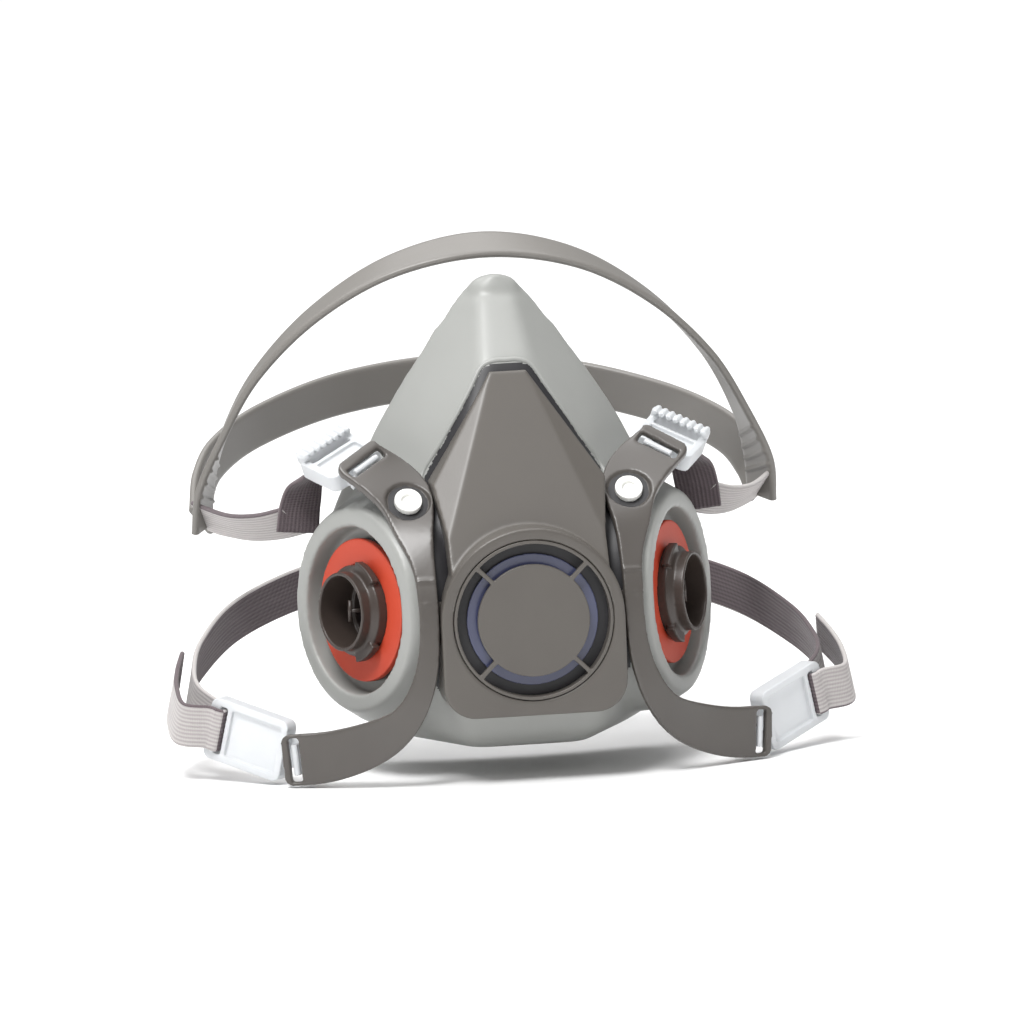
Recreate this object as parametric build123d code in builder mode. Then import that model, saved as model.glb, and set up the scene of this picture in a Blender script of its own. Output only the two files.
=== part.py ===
from build123d import *
import os
from math import cos, radians, sin

# Half-face respirator, in millimetres. +X is the wearer's left seen from the front,
# -Y is the front and +Z is up. The origin is the middle of the face seal.

# ---- overall size: route points are given for the medium size and graded to this one ----
cup_width = 112.0
cup_depth = 62.0
cup_height = 127.0
medium_width = 112.0
medium_depth = 62.0
medium_height = 127.0

# ---- facepiece ----
wall = 2.2
corner_share = 0.33         # front corner radius as a share of the front half-width
cheek_share = 0.18          # cheek corner radius as a share of the cheek half-width
back_reach = 36.0           # the cup runs this far back before the face is cut away
face_radius = 120.0         # curve of the seal edge seen from above
seal_set_back = 4.0         # the seal at the nose stands this far in front of the origin
seal_flange = 2.4           # thickness of the inturned seal

# ---- exhalation valve ----
ring_radius = 22.6
ring_width = 1.0
disc_radius = 15.9
disc_thickness = 1.4
spoke_width = 1.3
spoke_count = 4
pad_radius = 22.2
pad_front = 5.5             # the valve pad lies this far behind the ring's face
seat_thickness = 1.5
seat_bore = 15.0
seat_groove = 17.9
flap_radius = 18.6
flap_thickness = 0.7
flap_lift = 1.1
moving_gap = 0.3
hub_radius = 3.0
stem_radius = 1.0
rib_width = 1.6
fit = 0.1

# ---- front plate ----
plate_wall = 1.8
housing_margin = 3.4
housing_chin = 27.0         # valve centre down to the housing's bottom edge
housing_corner = 9.0
plate_top_half = 5.2
shoulder_inset = 1.4
facet_foot_inset = 3.6

# ---- filter ports ----
port_turn = 63.3            # the port looks this far round from straight ahead
port_rise = 2.3
tube_outer = 11.15
tube_inner = 10.1
socket_depth = 11.0         # the filter's spigot goes this deep
valve_bore = 9.2
collar_radius = 12.9
lug_radius = 14.5
lug_count = 3
lug_span = 40.0
gasket_radius = 20.25
gasket_thickness = 2.0
gasket_depth = 7.0          # gasket face below the tube's rim
lip_depth = 4.4             # boss lip below the tube's rim
boss_lip_radius = 28.5
boss_foot_radius = 33.5
boss_bore = 23.7
insert_flange = 2.0
port_flap_travel = 1.4

# ---- harness ----
strap_width = 12.5
strap_thickness = 1.3
strap_play = 0.5
strap_gap = 0.25            # webbing stands this far off the frame that it wraps
arm_thickness = 2.4
slot_width = 3.2
slot_length = 12.4
stud_head = 3.9
stud_recess = 6.3
stud_shank = 2.4
stud_head_height = 1.9
recess_depth = 1.1
post_radius = 5.6
arm_width = 15.5
arm_end_width = 14.6
arm_corner = 2.8
bridge_width = 1.7
bridge_thickness = 1.6
bridge_tab = 12.0
pin_radius = 0.95
pin_half = 4.4
leg_half = 0.7
lower_leg_tilt = 18.0       # leaves the lower buckles room to swing outward
hook_drop = 6.4
hook_floor = 1.4
buckle_thickness = 5.0
buckle_start = 5.2
buckle_rail = 2.2
upper_reach = 23.0
lower_reach = 31.0
buckle_slot = 2.4
rear_bar = 3.2
buckle_corner = 2.4
window_depth = 1.2
window_margin = 1.5
lip_rise = 2.2              # the upper buckles' toothed grip
lip_corner = 1.2
band_thickness = 2.2
clasp_half = 8.2
clasp_thickness = 3.2
clasp_gap = 0.6

sides = ((-1, "left"), (1, "right"))

os.makedirs("parts", exist_ok=True)


def grade(x, y, z):
    """A point of the medium size, moved to the size that is set."""
    return Vector(x * cup_width / medium_width, y * cup_depth / medium_depth, z * cup_height / medium_height)


def finish(part, name):
    part.label = name
    export_step(part, f"parts/{name}.step")


def pair(left, name):
    """Writes a piece of the left side and its mirror image on the right."""
    finish(left.part, f"left_{name}")
    with BuildPart() as right:
        mirror(left.part, about=Plane.YZ)
    finish(right.part, f"right_{name}")


def slab(plane, start, end, half, low, high, mode=Mode.ADD, corner=0.0, shift=0.0):
    """A flat block: start to end along the plane, half to each side, low to high out of it."""
    with BuildSketch(plane.offset(low)) as face:
        with Locations(((start + end) / 2, shift)):
            if corner > 0:
                RectangleRounded(end - start, 2 * half, corner)
            else:
                Rectangle(end - start, 2 * half)
    extrude(face.sketch, amount=high - low, mode=mode)


def disc(plane, radius, low, high, mode=Mode.ADD):
    """A round block about the plane's normal."""
    with BuildSketch(plane.offset(low)) as face:
        Circle(radius)
    extrude(face.sketch, amount=high - low, mode=mode)


def turned(plane, *points, mode=Mode.ADD):
    """A turned solid: points are (radius, height) about the plane's normal."""
    section = Plane(origin=plane.origin, x_dir=plane.x_dir, z_dir=-plane.y_dir)
    with BuildSketch(section) as profile:
        with BuildLine():
            Polyline(*points, close=True)
        make_face()
    revolve(profile.sketch, axis=Axis(plane.origin, plane.z_dir), mode=mode)


def spider(plane, reach, low, high, count):
    """Ribs from the middle out to reach."""
    with BuildSketch(plane.offset(low)) as ribs:
        with PolarLocations(reach / 2, count, start_angle=180 / count):
            Rectangle(reach, rib_width)
    extrude(ribs.sketch, amount=high - low)


def station_plane(point, along, across):
    """A cut across a band: x is the band's width, y its thickness."""
    width_dir = across - along * (across.dot(along) / along.dot(along))
    return Plane(origin=point, x_dir=width_dir, z_dir=along)


def band(stations, thickness):
    """A flat band through stations of (point, across, width)."""
    points = [station[0] for station in stations]
    sections = []
    for index, (point, across, width) in enumerate(stations):
        before = points[max(index - 1, 0)]
        after = points[min(index + 1, len(points) - 1)]
        with BuildSketch(station_plane(point, after - before, across)) as cut:
            Rectangle(width, thickness)
        sections.append(cut.sketch)
    loft(sections)


def graded_stations(side, rows):
    """Stations of a band from rows of (x, y, z), (across), width, on one side."""
    stations = []
    for (x, y, z), (ax, ay, az), width in rows:
        stations.append((grade(side * x, y, z), Vector(side * ax, ay, az), width))
    return stations


# ---- places ----
valve_centre = grade(0, -62, -22)
valve_plane = Plane(origin=valve_centre, x_dir=(1, 0, 0), z_dir=(0, -1, 0))
housing_half = ring_radius + housing_margin
pad_face = -pad_front
seat_front = pad_face + seat_thickness
flap_back = seat_front + moving_gap


def port_plane(side):
    turn = radians(port_turn)
    rise = radians(port_rise)
    outward = Vector(side * sin(turn) * cos(rise), -cos(turn) * cos(rise), sin(rise))
    return Plane(origin=grade(side * 50.7, -31.4, -20.8), x_dir=(side * cos(turn), sin(turn), 0), z_dir=outward)


# levels down the port, measured from the tube's rim
gasket_back = -gasket_depth - gasket_thickness
floor_front = gasket_back - insert_flange
floor_back = floor_front - wall
port_end = floor_back - insert_flange - 1.0
groove_radius = tube_outer + 2.3

# ---- facepiece: levels of (z, front half-width, front y, cheek half-width, cheek y) ----
cup_levels = (
    (66.5, 2.6, -8.0, 6.0, -3.0),
    (63.0, 3.6, -12.5, 9.0, -2.0),
    (47.0, 6.0, -26.0, 19.5, -4.0),
    (24.5, 15.0, -36.5, 35.0, -6.0),
    (10.0, 22.0, -42.0, 44.5, -4.0),
    (-6.0, 24.5, -49.2, 51.0, 2.0),
    (-20.0, 24.5, -53.8, 56.0, 8.0),
    (-36.0, 23.5, -54.0, 55.0, 6.0),
    (-48.0, 22.0, -51.8, 50.0, 2.0),
    (-56.0, 20.0, -48.0, 43.0, -4.0),
    (-60.5, 15.0, -42.5, 31.0, -12.0),
)


def cup_section(level, height, inset):
    """One level of the cup, drawn in by inset."""
    front_half, front_y, cheek_half, cheek_y = level[1:]
    front = grade(front_half, front_y, 0)
    cheek = grade(cheek_half, cheek_y, 0)
    right = [(front.X, front.Y), (cheek.X, cheek.Y), (cheek.X, back_reach)]
    left = [(-x, y) for x, y in reversed(right)]
    with BuildSketch(Plane.XY.offset(height)) as section:
        with BuildLine():
            Polyline(*right, *left, close=True)
        make_face()
        if inset > 0:
            offset(amount=-inset, kind=Kind.INTERSECTION)
        ordered = section.vertices().sort_by(Axis.Y)
        fillet(ordered[0:2], corner_share * front.X)
        ordered = section.vertices().sort_by(Axis.Y)
        corners = [v for v in ordered if abs(v.Y - ordered[4].Y) < fit and abs(v.X) > cheek.X / 2]
        fillet(corners, cheek_share * cheek.X)
    return section.sketch


def cup_solid(inset):
    levels = cup_levels if inset == 0 else cup_levels[1:]
    sections = []
    for index, level in enumerate(levels):
        height = grade(0, 0, level[0]).Z
        if inset > 0 and index >= len(levels) - 2:
            height += inset
        sections.append(cup_section(level, height, inset))
    loft(sections, ruled=True)


def face_cylinder(radius, mode):
    with BuildSketch(Plane.XY.offset(-cup_height)) as face:
        with Locations((0, face_radius - seal_set_back)):
            Circle(radius)
    extrude(face.sketch, amount=2 * cup_height, mode=mode)


with BuildPart() as cup_form:
    cup_solid(0)

with BuildPart() as cup_hollow:
    cup_solid(wall)
    face_cylinder(face_radius + seal_flange, Mode.SUBTRACT)

with BuildPart() as face_opening:
    with BuildSketch(Plane.XZ.offset(-back_reach)) as outline:
        with BuildLine():
            Polyline(*[(grade(x, 0, z).X, grade(x, 0, z).Z) for x, z in (
                (0, 50), (7, 47), (22, 18), (40, -14), (40, -36), (24, -52),
                (-24, -52), (-40, -36), (-40, -14), (-22, 18), (-7, 47))], close=True)
        make_face()
    extrude(amount=back_reach + 14)


# ---- harness stations ----
arm_rows = (
    ((44.5, -28.6, 23.4), (0.80, -0.42, -0.42), arm_width),
    ((41.6, -31.1, 20.5), (0.80, -0.42, -0.42), arm_width),
    ((31.4, -40.0, 10.0), (0.80, -0.42, -0.42), arm_width),
    ((30.7, -47.0, 2.5), (0.97, 0.05, -0.20), 10.8),
    ((29.5, -52.5, -5.5), (0.99, 0.10, -0.05), 6.8),
    ((29.1, -56.5, -14.0), (0.99, 0.12, 0.0), 5.6),
    ((29.2, -58.5, -26.0), (0.99, 0.12, 0.05), 5.6),
    ((31.2, -59.0, -38.0), (0.95, 0.20, 0.25), 6.6),
    ((36.0, -57.5, -48.0), (0.75, 0.20, 0.60), 8.5),
    ((42.5, -53.0, -54.0), (0.50, 0.20, 0.84), 11.5),
    ((51.0, -47.5, -58.0), (0.25, 0.15, 0.95), 13.6),
    ((58.5, -43.5, -60.0), (0.10, 0.05, 0.99), 14.4),
    ((66.1, -40.2, -60.7), (-0.02, 0.00, 1.00), arm_end_width),
    ((69.4, -38.8, -61.0), (-0.02, 0.00, 1.00), arm_end_width),
)
stud_row = 2
upper_slot_row = 1
lower_slot_row = 12


def arm_frame(side, row, following):
    """A plane on the arm: x runs along it, z out of its front face."""
    here = grade(side * arm_rows[row][0][0], *arm_rows[row][0][1:])
    there = grade(side * arm_rows[following][0][0], *arm_rows[following][0][1:])
    along = (there - here).normalized()
    ax, ay, az = arm_rows[row][1]
    across = Vector(side * ax, ay, az)
    across = (across - along * across.dot(along)).normalized()
    normal = along.cross(across)
    if normal.Y > 0:
        normal = -normal
    return Plane(origin=here, x_dir=along, z_dir=normal)


def slot_centre(side, row):
    return grade(side * arm_rows[row][0][0], *arm_rows[row][0][1:])


def end_row(row):
    """The next station beyond a slot, at the arm's end."""
    return row - 1 if row == upper_slot_row else row + 1


def round_arm_end(side, row):
    """Rounds both corners of an arm's end."""
    frame = arm_frame(side, row, end_row(row))
    reach = (slot_centre(side, end_row(row)) - slot_centre(side, row)).length
    half = arm_rows[row][2] / 2
    for edge in (-1, 1):
        with BuildSketch(frame.offset(-arm_thickness)) as corner:
            with Locations((reach, edge * half)):
                Rectangle(2 * arm_corner, 2 * arm_corner)
            with Locations((reach - arm_corner, edge * (half - arm_corner))):
                Circle(arm_corner + fit, mode=Mode.SUBTRACT)
        extrude(corner.sketch, amount=2 * arm_thickness, mode=Mode.SUBTRACT)


def body_plane(side, row):
    """The frame of a buckle's body: x runs back along the strap, z out of its face."""
    if row == upper_slot_row:
        along = Vector(side * 0.45, 0.87, 0.20)
        across = Vector(side * 0.80, -0.42, -0.42)
    else:
        along = Vector(side * 0.745, 0.605, 0.26)
        across = Vector(side * -0.21, -0.17, 0.96)
    across = (across - along * (across.dot(along) / along.dot(along))).normalized()
    normal = along.cross(across)
    if (row == upper_slot_row and normal.Z < 0) or (row == lower_slot_row and normal.Y > 0):
        normal = -normal
    return Plane(origin=slot_centre(side, row), x_dir=along, z_dir=normal)


buckle_half = strap_width / 2 + strap_play + buckle_rail
buckle_foot = {upper_slot_row: 3.4, lower_slot_row: -3.2}
leg_tilt = {upper_slot_row: 0.0, lower_slot_row: lower_leg_tilt}
strap_slot_half = strap_width / 2 + strap_play
strap_run = {upper_slot_row: 1.5, lower_slot_row: 0.0}       # straight webbing beyond the frame
strap_lead = {upper_slot_row: 3.0, lower_slot_row: fit}


def buckle(side, row, reach):
    """Strap lock: a pin in the arm's slot, a leg behind it and a windowed frame."""
    arm = arm_frame(side, row, end_row(row))
    body = body_plane(side, row)
    pin = Plane(origin=arm.origin, x_dir=arm.x_dir, z_dir=arm.y_dir)
    disc(pin, pin_radius, -pin_half, pin_half)
    tilt = radians(leg_tilt[row])
    leg = Plane(origin=arm.origin, x_dir=arm.x_dir * cos(tilt) - arm.z_dir * sin(tilt),
                z_dir=arm.z_dir * cos(tilt) + arm.x_dir * sin(tilt))
    slab(leg, -leg_half, leg_half, pin_half, -hook_drop - hook_floor, 0)
    slab(body, buckle_foot[row], buckle_start + buckle_rail, pin_half, -hook_drop, hook_floor - hook_drop)
    top = buckle_thickness - hook_drop
    slab(body, buckle_start, reach, buckle_half, -hook_drop, top, corner=buckle_corner)
    slot_end = reach - rear_bar
    slab(body, slot_end - buckle_slot, slot_end, strap_slot_half, -hook_drop - fit, top + fit, Mode.SUBTRACT)
    window_end = slot_end - buckle_slot - window_margin
    slab(body, buckle_start + buckle_rail, window_end, buckle_half - buckle_rail, top - window_depth,
         top + fit, Mode.SUBTRACT)
    if row == upper_slot_row:
        slab(body, reach - rear_bar, reach, buckle_half, top - fit, top + lip_rise, corner=lip_corner)


def strap_in_buckle(side, row, reach, folded_over):
    """The webbing's run under the rear bar and its riser in the slot, folded over the bar or ending inside."""
    body = body_plane(side, row)
    middle = reach - rear_bar - buckle_slot / 2
    under = -hook_drop - strap_gap
    top = buckle_thickness - hook_drop + strap_gap
    end = top + strap_thickness if folded_over else top - strap_thickness
    slab(body, middle - strap_thickness / 2, middle + strap_thickness / 2, strap_width / 2,
         under - strap_thickness, end)
    slab(body, middle - strap_thickness / 2, reach + strap_run[row], strap_width / 2, under - strap_thickness, under)
    if folded_over:
        slab(body, middle - strap_thickness / 2, reach, strap_width / 2, top, top + strap_thickness)


def strap_stations(side, row, reach, rows, level):
    """Stations that carry a strap on from its buckle: two on the body plane, then the route."""
    body = body_plane(side, row)
    across = body.y_dir if body.y_dir.Z > 0 or row == upper_slot_row else -body.y_dir
    stations = []
    for distance in (reach + strap_run[row] - strap_thickness, reach + strap_run[row] + strap_lead[row]):
        stations.append((body.from_local_coords(Vector(distance, 0, level)), across, strap_width))
    for station in graded_stations(side, rows):
        if across.dot(station[1]) < 0:
            station = (station[0], -station[1], station[2])
        stations.append(station)
        across = station[1]
    return stations


under_level = -hook_drop - strap_gap - strap_thickness / 2
over_level = buckle_thickness - hook_drop + strap_gap + strap_thickness / 2

upper_strap_rows = (
    ((54.6, -2.4, 13.0), (0.86, -0.36, -0.30), strap_width),
    ((56.8, -0.2, 6.0), (0.97, -0.22, -0.08), strap_width),
    ((57.8, 0.8, -2.0), (0.99, -0.10, 0.0), strap_width),
)
upper_return_rows = (
    ((59.5, 2.6, 1.0), (0.63, -0.42, 0.65), strap_width),
    ((65.0, 9.0, -1.0), (0.63, -0.42, 0.65), strap_width),
    ((72.0, 18.0, -2.0), (0.60, -0.42, 0.68), strap_width),
    ((78.7, 28.9, -1.1), (0.52, -0.40, 0.75), strap_width),
)
neck_strap_rows = (
    ((90.0, -6.5, -48.5), (-0.20, -0.20, 0.96), strap_width),
    ((89.5, 4.0, -44.0), (-0.15, -0.28, 0.95), strap_width),
    ((84.5, 17.0, -38.5), (0.0, -0.30, 0.95), strap_width),
    ((73.0, 34.0, -31.5), (0.10, -0.25, 0.96), strap_width),
    ((55.0, 48.0, -26.0), (0.10, -0.20, 0.97), strap_width),
    ((34.0, 57.0, -22.5), (0.05, -0.10, 0.99), strap_width),
    ((18.0, 60.5, -21.3), (0.0, 0.0, 1.0), strap_width),
    ((13.0, 60.9, -21.1), (0.0, 0.0, 1.0), strap_width),
)
neck_tail_rows = (
    ((95.6, -18.0, -51.8), (-0.20, -0.17, 0.96), strap_width),
    ((96.5, -9.0, -48.3), (-0.20, -0.20, 0.96), strap_width),
    ((95.0, 0.0, -44.5), (-0.18, -0.24, 0.95), strap_width),
    ((92.0, 9.0, -40.5), (-0.15, -0.28, 0.95), strap_width),
)

# ---- head cradle: right half from the end to the middle ----
crown_rows = (
    ((81.0, 34.0, -4.0), (0.52, -0.84, -0.15), 12.0),
    ((80.0, 31.0, 8.0), (0.38, -0.92, 0.05), 14.0),
    ((75.0, 28.0, 22.0), (0.14, -0.98, 0.10), 13.0),
    ((65.0, 25.0, 40.0), (0.06, -0.99, 0.02), 12.5),
    ((48.0, 20.0, 57.5), (0.05, -0.98, -0.15), 12.5),
    ((26.0, 15.0, 70.5), (0.05, -0.94, -0.32), 12.5),
    ((0.0, 13.0, 75.5), (0.0, -0.92, -0.39), 13.0),
)
back_rows = (
    ((81.0, 35.0, -2.0), (0.50, -0.30, 0.80), 12.0),
    ((79.0, 45.0, 6.0), (0.30, -0.20, 0.93), 13.0),
    ((73.0, 58.0, 13.0), (0.10, -0.20, 0.97), 13.0),
    ((58.0, 74.0, 19.5), (0.0, -0.20, 0.98), 13.0),
    ((32.0, 88.0, 25.5), (0.0, -0.18, 0.98), 13.0),
    ((0.0, 93.0, 28.0), (0.0, -0.15, 0.98), 13.0),
)


def mirrored_band(rows, thickness):
    """A band from the left end over the middle to the right end."""
    left = graded_stations(-1, rows)
    right = graded_stations(1, rows[:-1])
    band(left + list(reversed(right)), thickness)


# ---- front plate ----
def plate_form(inset):
    """The shield and its valve housing, drawn in by inset and running back through the cup."""
    top = grade(0, -29.0, 44.4)
    foot = grade(0, -54.5, 0.4)
    shoulder = grade(0, -42.6, 15.0)
    back = grade(0, -20.0, 0).Y
    foot_half = housing_half - facet_foot_inset
    shoulder_half = housing_half - shoulder_inset
    with BuildSketch(Plane.XZ.offset(-valve_centre.Y)) as outline:
        with BuildLine():
            Polyline((plate_top_half, top.Z), (shoulder_half, shoulder.Z), (foot_half, foot.Z),
                     (foot_half, valve_centre.Z), (-foot_half, valve_centre.Z), (-foot_half, foot.Z),
                     (-shoulder_half, shoulder.Z), (-plate_top_half, top.Z), close=True)
        make_face()
        if inset > 0:
            offset(amount=-inset, kind=Kind.INTERSECTION)
    extrude(outline.sketch, amount=valve_centre.Y - back)
    centre_facet = Plane(origin=top, x_dir=(1, 0, 0), z_dir=Vector(1, 0, 0).cross(top - foot))
    cut_above(centre_facet, inset)
    for side, _ in sides:
        corner = Vector(side * plate_top_half, top.Y, top.Z)
        low = Vector(side * foot_half, foot.Y, foot.Z)
        wide = Vector(side * shoulder_half, shoulder.Y, shoulder.Z)
        normal = (low - corner).cross(wide - corner)
        if normal.Y > 0:
            normal = -normal
        cut_above(Plane(origin=corner, x_dir=low - corner, z_dir=normal), inset)
    with BuildSketch(valve_plane.offset(-fit - inset)) as housing:
        Circle(housing_half - inset)
        with Locations((0, -(housing_chin - inset) / 2)):
            Rectangle(2 * (housing_half - inset), housing_chin - inset)
        lowest = housing.vertices().group_by(Axis.Z)[0]
        fillet(lowest, housing_corner - inset)
    extrude(housing.sketch, amount=-(back - valve_centre.Y))


def cut_above(plane, inset):
    split(bisect_by=plane.offset(-inset), keep=Keep.BOTTOM)


with BuildPart() as plate_block:
    plate_form(0)

with BuildPart() as plate_hollow:
    plate_form(plate_wall)


# ---- facepiece ----
with BuildPart() as facepiece:
    add(cup_form)
    for side, name in sides:
        port = port_plane(side)
        turned(port, (0, -lip_depth), (boss_lip_radius, -lip_depth), (boss_foot_radius, floor_back),
               (boss_foot_radius, floor_back - 3 * wall), (0, floor_back - 3 * wall))
        stud = arm_frame(side, stud_row, upper_slot_row)
        disc(stud, post_radius, -arm_thickness / 2 - 9 * wall, -arm_thickness / 2)
    disc(valve_plane, pad_radius, pad_face - 3 * wall, pad_face)
    face_cylinder(face_radius, Mode.SUBTRACT)
    add(cup_hollow, mode=Mode.SUBTRACT)
    add(face_opening, mode=Mode.SUBTRACT)
    disc(valve_plane, pad_radius - wall, pad_face - 5 * wall, pad_face - wall, Mode.SUBTRACT)
    disc(valve_plane, seat_groove + fit, pad_face - 2 * wall, pad_face + fit, Mode.SUBTRACT)
    for side, name in sides:
        port = port_plane(side)
        disc(port, boss_bore, floor_front, fit, Mode.SUBTRACT)
        disc(port, boss_bore - wall, floor_back - 5 * wall, floor_back, Mode.SUBTRACT)
        disc(port, groove_radius + fit, floor_back - fit, floor_front + fit, Mode.SUBTRACT)
        stud = arm_frame(side, stud_row, upper_slot_row)
        disc(stud, stud_shank + fit, -arm_thickness / 2 - 2 * wall, 0, Mode.SUBTRACT)
finish(facepiece.part, "facepiece")

# ---- harness yoke ----
with BuildPart() as harness_yoke:
    for side, name in sides:
        band(graded_stations(side, arm_rows), arm_thickness)
        for row in (upper_slot_row, lower_slot_row):
            round_arm_end(side, row)
        inner, outer = sorted((side * (pad_radius + fit), side * (housing_half + 4 * fit + 4.0)))
        slab(valve_plane, inner, outer, bridge_tab / 2, pad_face - fit - bridge_thickness, pad_face - fit)
        inner, outer = sorted((side * (housing_half + 8 * fit), side * (housing_half + 4 * fit + 4.0)))
        slab(valve_plane, inner, outer, bridge_tab / 2, pad_face - fit - bridge_thickness, pad_face + 2.0)
    disc(valve_plane, pad_radius + fit + bridge_width, pad_face - fit - bridge_thickness, pad_face - fit)
    disc(valve_plane, pad_radius + fit, pad_face - 2 * bridge_thickness, pad_face, Mode.SUBTRACT)
    for side, name in sides:
        for row in (upper_slot_row, lower_slot_row):
            frame = arm_frame(side, row, end_row(row))
            slab(frame, -slot_width / 2, slot_width / 2, slot_length / 2, -arm_thickness, arm_thickness,
                 Mode.SUBTRACT)
        stud = arm_frame(side, stud_row, upper_slot_row)
        disc(stud, stud_shank + fit, -arm_thickness, arm_thickness, Mode.SUBTRACT)
        disc(stud, stud_recess, arm_thickness / 2 - recess_depth, arm_thickness, Mode.SUBTRACT)
        port = port_plane(side)
        disc(port, boss_lip_radius + moving_gap, -lip_depth - 4 * wall, 3 * wall, Mode.SUBTRACT)
    add(facepiece, mode=Mode.SUBTRACT)
finish(harness_yoke.part, "harness_yoke")

with BuildPart() as front_plate:
    add(plate_block)
    add(plate_hollow, mode=Mode.SUBTRACT)
    add(cup_form, mode=Mode.SUBTRACT)
    disc(valve_plane, ring_radius + fit, pad_face - 2 * wall, fit, Mode.SUBTRACT)
    for side, name in sides:
        inner, outer = sorted((side * pad_radius, side * (housing_half + 4)))
        slab(valve_plane, inner, outer, bridge_tab / 2 + fit, pad_face - 2 * fit - bridge_thickness, pad_face,
             Mode.SUBTRACT)
    add(facepiece, mode=Mode.SUBTRACT)
finish(front_plate.part, "front_plate")

# ---- exhalation valve ----
with BuildPart() as valve_seat:
    turned(valve_plane, (seat_bore, seat_front), (ring_radius, seat_front), (ring_radius, pad_face),
           (seat_groove, pad_face), (seat_groove, pad_face - wall), (pad_radius - wall - fit, pad_face - wall),
           (pad_radius - wall - fit, pad_face - wall - seat_thickness),
           (seat_bore, pad_face - wall - seat_thickness))
    rib_low = pad_face - wall - seat_thickness
    disc(valve_plane, hub_radius, rib_low, seat_front)
    spider(valve_plane, seat_bore + fit, rib_low, seat_front - seat_thickness, spoke_count)
    disc(valve_plane, stem_radius + moving_gap, rib_low - fit, seat_front + fit, Mode.SUBTRACT)
finish(valve_seat.part, "exhalation_valve_seat")

with BuildPart() as valve_flap:
    disc(valve_plane, flap_radius, flap_back, flap_back + flap_thickness)
    stem_end = rib_low - flap_lift - moving_gap
    disc(valve_plane, stem_radius, stem_end, flap_back + fit)
    disc(valve_plane, stem_radius + 3 * moving_gap, stem_end - stem_radius, stem_end)
finish(valve_flap.part, "exhalation_valve_flap")

with BuildPart() as valve_cover:
    disc(valve_plane, ring_radius, seat_front, 0)
    disc(valve_plane, ring_radius - ring_width, seat_front - fit, fit, Mode.SUBTRACT)
    disc(valve_plane, disc_radius, -disc_thickness, 0)
    with BuildSketch(valve_plane.offset(-disc_thickness)) as spokes:
        reach = ring_radius - ring_width / 2 - disc_radius
        with PolarLocations(disc_radius + reach / 2 - fit, spoke_count, start_angle=180 / spoke_count):
            Rectangle(reach + fit, spoke_width)
    extrude(spokes.sketch, amount=disc_thickness)
finish(valve_cover.part, "valve_cover")

# ---- head cradle ----
with BuildPart() as head_cradle:
    mirrored_band(crown_rows, band_thickness)
    mirrored_band(back_rows, band_thickness)
finish(head_cradle.part, "head_cradle")

# ---- filter ports, buckles, straps and studs ----
side = -1
port = port_plane(side)
with BuildPart() as port_insert:
    turned(port, (tube_inner, 0), (tube_outer, 0), (tube_outer, -lip_depth + 1.4), (collar_radius, -lip_depth),
           (collar_radius, gasket_back), (gasket_radius, gasket_back), (gasket_radius, floor_front),
           (groove_radius, floor_front), (groove_radius, floor_back),
           (groove_radius + 2, floor_back), (groove_radius + 2, floor_back - insert_flange),
           (tube_outer, floor_back - insert_flange), (tube_outer, port_end), (valve_bore, port_end),
           (valve_bore, -socket_depth), (tube_inner, -socket_depth))
    with BuildSketch(port.offset(-gasket_depth + 1.0)) as lugs:
        for number in range(lug_count):
            facing = number * 360 / lug_count
            with BuildLine():
                low = facing - lug_span / 2
                high = facing + lug_span / 2
                CenterArc((0, 0), lug_radius, low, lug_span)
                Line((lug_radius * cos(radians(high)), lug_radius * sin(radians(high))),
                     (tube_outer * cos(radians(high)), tube_outer * sin(radians(high))))
                CenterArc((0, 0), tube_outer, high, -lug_span)
                Line((tube_outer * cos(radians(low)), tube_outer * sin(radians(low))),
                     (lug_radius * cos(radians(low)), lug_radius * sin(radians(low))))
            make_face()
    extrude(lugs.sketch, amount=gasket_depth - lip_depth)
    disc(port, hub_radius, port_end, port_end + insert_flange)
    spider(port, valve_bore + fit, port_end, port_end + rib_width, 3)
    disc(port, stem_radius + moving_gap, port_end - fit, port_end + 2 * insert_flange, Mode.SUBTRACT)
pair(port_insert, "port_insert")

with BuildPart() as gasket:
    disc(port, gasket_radius, gasket_back, gasket_back + gasket_thickness)
    disc(port, collar_radius, gasket_back - fit, gasket_back + gasket_thickness + fit, Mode.SUBTRACT)
pair(gasket, "port_gasket")

with BuildPart() as port_flap:
    seat = port_end - moving_gap
    disc(port, tube_outer, seat - flap_thickness, seat)
    knob = port_end + insert_flange + port_flap_travel + moving_gap
    disc(port, stem_radius, seat - fit, knob)
    disc(port, stem_radius + 3 * moving_gap, knob, knob + stem_radius)
pair(port_flap, "inhalation_flap")

frame = arm_frame(side, stud_row, upper_slot_row)
with BuildPart() as harness_stud:
    seat = arm_thickness / 2 - recess_depth
    disc(frame, stud_head, seat, seat + stud_head_height)
    disc(frame, stud_head / 2, seat + stud_head_height / 2, seat + stud_head_height + fit, Mode.SUBTRACT)
    disc(frame, stud_shank, -arm_thickness / 2 - 2 * wall + fit, seat)
pair(harness_stud, "harness_stud")

with BuildPart() as upper_buckle:
    buckle(side, upper_slot_row, upper_reach)
pair(upper_buckle, "upper_buckle")

with BuildPart() as upper_strap:
    strap_in_buckle(side, upper_slot_row, upper_reach, False)
    band(strap_stations(side, upper_slot_row, upper_reach, upper_strap_rows, under_level), strap_thickness)
pair(upper_strap, "upper_strap")

with BuildPart() as upper_strap_end:
    band(graded_stations(side, upper_return_rows), strap_thickness)
pair(upper_strap_end, "upper_strap_end")

with BuildPart() as lower_buckle:
    buckle(side, lower_slot_row, lower_reach)
pair(lower_buckle, "lower_buckle")

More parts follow.
